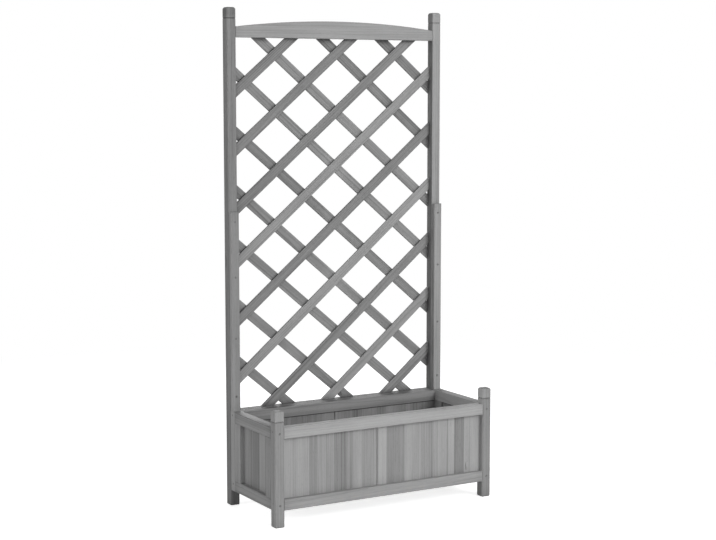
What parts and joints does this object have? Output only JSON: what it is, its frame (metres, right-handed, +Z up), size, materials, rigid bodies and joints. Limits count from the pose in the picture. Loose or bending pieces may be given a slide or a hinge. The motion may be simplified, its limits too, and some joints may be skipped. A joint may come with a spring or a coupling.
{
  "type": "planter with trellis",
  "caption": "Rectangular softwood planter box on four legs with panelled sides, backed by a tall diamond-lattice trellis with an arched top rail.",
  "frame": {"origin": "on the floor, under the middle of the whole piece's width and depth", "axes": "+X along the box to its right end, +Y from the front panel towards the trellis, +Z up"},
  "size_m": [0.64, 0.28, 1.28],
  "materials": {
    "frame_wood": "grey-stained planed softwood, satin",
    "board_wood": "grey-stained planed softwood boards, satin",
    "slat_wood": "grey-stained planed softwood strips, satin",
    "zinc_screw": "dull zinc-plated steel"
  },
  "bodies": {
    "root": {"box_frame_screws": "zinc_screw", "falling_slat_1": "slat_wood", "falling_slat_2": "slat_wood", "falling_slat_3": "slat_wood", "falling_slat_4": "slat_wood", "falling_slat_5": "slat_wood", "falling_slat_6": "slat_wood", "falling_slat_7": "slat_wood", "falling_slat_8": "slat_wood", "falling_slat_9": "slat_wood", "floor_board_1": "board_wood", "floor_board_2": "board_wood", "floor_board_3": "board_wood", "floor_board_4": "board_wood", "floor_board_5": "board_wood", "floor_left_bearer": "board_wood", "floor_middle_bearer": "board_wood", "floor_right_bearer": "board_wood", "front_bottom_rail": "frame_wood", "front_left_board": "board_wood", "front_left_post": "frame_wood", "front_right_board": "board_wood", "front_right_post": "frame_wood", "front_top_rail": "frame_wood", "left_bottom_rail": "frame_wood", "left_front_stile": "frame_wood", "left_rear_stile": "frame_wood", "left_side_panel": "board_wood", "left_top_rail": "frame_wood", "rear_bottom_rail": "frame_wood", "rear_left_board": "board_wood", "rear_left_upright": "frame_wood", "rear_right_board": "board_wood", "rear_right_upright": "frame_wood", "rear_top_rail": "frame_wood", "right_bottom_rail": "frame_wood", "right_front_stile": "frame_wood", "right_rear_stile": "frame_wood", "right_side_panel": "board_wood", "right_top_rail": "frame_wood", "rising_slat_1": "slat_wood", "rising_slat_2": "slat_wood", "rising_slat_3": "slat_wood", "rising_slat_4": "slat_wood", "rising_slat_5": "slat_wood", "rising_slat_6": "slat_wood", "rising_slat_7": "slat_wood", "rising_slat_8": "slat_wood", "rising_slat_9": "slat_wood", "trellis_arched_rail": "frame_wood", "trellis_bottom_rail": "frame_wood", "trellis_frame_screws": "zinc_screw", "trellis_left_post": "frame_wood", "trellis_right_post": "frame_wood", "upright_tongue_screws": "zinc_screw"}
  },
  "joints": []
}
